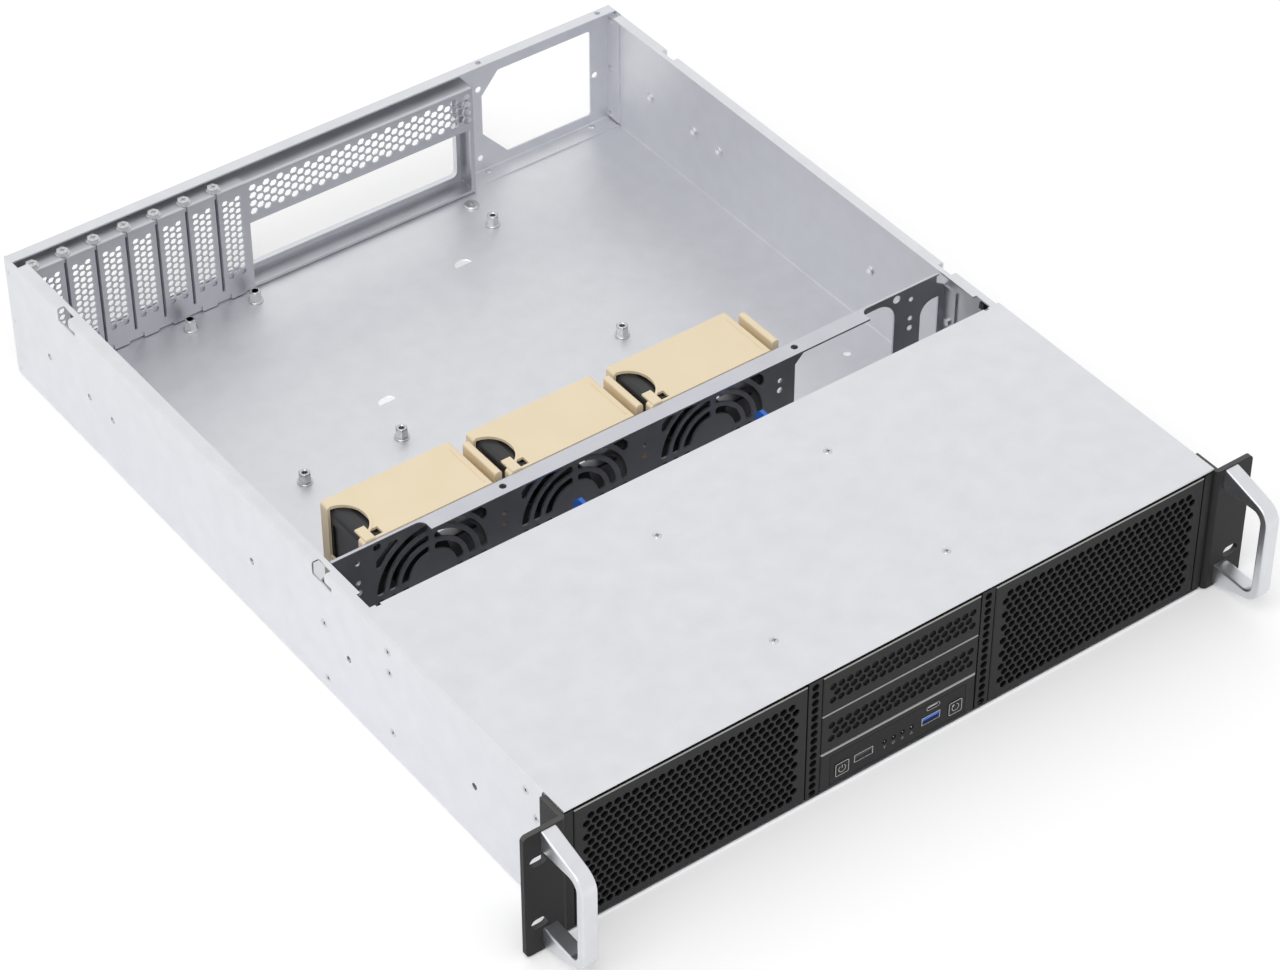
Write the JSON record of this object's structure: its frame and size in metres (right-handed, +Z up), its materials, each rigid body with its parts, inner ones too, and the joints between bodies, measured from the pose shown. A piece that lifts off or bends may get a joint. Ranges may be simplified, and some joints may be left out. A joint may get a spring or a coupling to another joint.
{
  "type": "rackmount server case",
  "caption": "Flat steel rack case for a server with its rear lid off: open main bay, fan wall, perforated front, rack ears and handles.",
  "frame": {"origin": "bottom centre of the bounding box, on the plane that the case stands on", "axes": "+X to the right seen from the front, +Y from the front to the rear, +Z up"},
  "size_m": [0.4826, 0.5896, 0.0875],
  "materials": {
    "zinc_sheet": "satin zinc-coated sheet",
    "bulkhead_sheet": "satin zinc-coated sheet",
    "screw_steel": "bright plated",
    "black_paint": "matt black powder coat",
    "handle_metal": "satin anodised",
    "cream_plastic": "plain moulded",
    "fan_plastic": "plain moulded",
    "bezel_plastic": "soft sheen",
    "button_plastic": "soft sheen",
    "port_metal": "plated shell",
    "blue_port": "blue insert",
    "blue_plastic": "plain moulded",
    "light_lens": "clear moulded",
    "circuit_board": "lacquered"
  },
  "bodies": {
    "chassis": {"base_tray": "zinc_sheet", "front_cover": "zinc_sheet", "rear_panel": "zinc_sheet", "slot_io_bracket": "zinc_sheet", "fan_wall": "bulkhead_sheet", "drive_cage": "zinc_sheet", "slot_screws": "screw_steel", "cover_screws": "screw_steel", "wall_screws": "screw_steel", "ear_screws": "screw_steel", "handle_screws": "screw_steel", "rear_rivets": "screw_steel", "lever_studs": "screw_steel", "floor_standoffs": "screw_steel", "low_nut": "screw_steel", "front_frame": "black_paint", "left_mesh_panel": "black_paint", "right_mesh_panel": "black_paint", "upper_bay_cover": "black_paint", "middle_bay_cover": "black_paint", "control_panel": "black_paint", "left_ear": "black_paint", "right_ear": "black_paint", "left_handle": "handle_metal", "right_handle": "handle_metal", "control_bezel": "bezel_plastic", "left_data_port": "port_metal", "right_data_port": "blue_port", "oval_data_port": "port_metal", "indicator_lights": "light_lens", "control_board": "circuit_board", "left_lid_clip": "fan_plastic", "right_lid_clip": "fan_plastic", "slot_cover_1": "zinc_sheet", "slot_cover_2": "zinc_sheet", "slot_cover_3": "zinc_sheet", "slot_cover_4": "zinc_sheet", "slot_cover_5": "zinc_sheet", "slot_cover_6": "zinc_sheet", "slot_cover_7": "zinc_sheet", "fan_holder_1": "cream_plastic", "fan_frame_1": "fan_plastic", "fan_holder_2": "cream_plastic", "fan_frame_2": "fan_plastic", "fan_holder_3": "cream_plastic", "fan_frame_3": "fan_plastic"},
    "power_button": {"power_button": "button_plastic"},
    "reset_button": {"reset_button": "button_plastic"},
    "left_lever": {"left_cage_lever": "blue_plastic"},
    "right_lever": {"right_cage_lever": "blue_plastic"},
    "rotor_1": {"fan_rotor_1": "fan_plastic"},
    "rotor_2": {"fan_rotor_2": "fan_plastic"},
    "rotor_3": {"fan_rotor_3": "fan_plastic"}
  },
  "joints": [
    {"name": "rotor_1_spin", "type": "hinge", "parent": "chassis", "child": "rotor_1", "pos_m": [-0.1427, -0.0202, 0.0432], "axis": [0, 1, 0], "continuous": true},
    {"name": "rotor_2_spin", "type": "hinge", "parent": "chassis", "child": "rotor_2", "pos_m": [-0.0483, -0.0202, 0.0432], "axis": [0, 1, 0], "continuous": true},
    {"name": "rotor_3_spin", "type": "hinge", "parent": "chassis", "child": "rotor_3", "pos_m": [0.0461, -0.0202, 0.0432], "axis": [0, 1, 0], "continuous": true},
    {"name": "power_press", "type": "slide", "parent": "chassis", "child": "power_button", "axis": [0, 1, 0], "range_m": [0, 0.001], "stiffness_N_per_m": 300},
    {"name": "reset_press", "type": "slide", "parent": "chassis", "child": "reset_button", "axis": [0, 1, 0], "range_m": [0, 0.001], "stiffness_N_per_m": 300},
    {"name": "left_lever_tilt", "type": "hinge", "parent": "chassis", "child": "left_lever", "pos_m": [-0.06195, -0.1022, 0.061], "axis": [1, 0, 0], "range_deg": [0, 15]},
    {"name": "right_lever_tilt", "type": "hinge", "parent": "chassis", "child": "right_lever", "pos_m": [0.06195, -0.1022, 0.061], "axis": [1, 0, 0], "range_deg": [0, 15]}
  ]
}
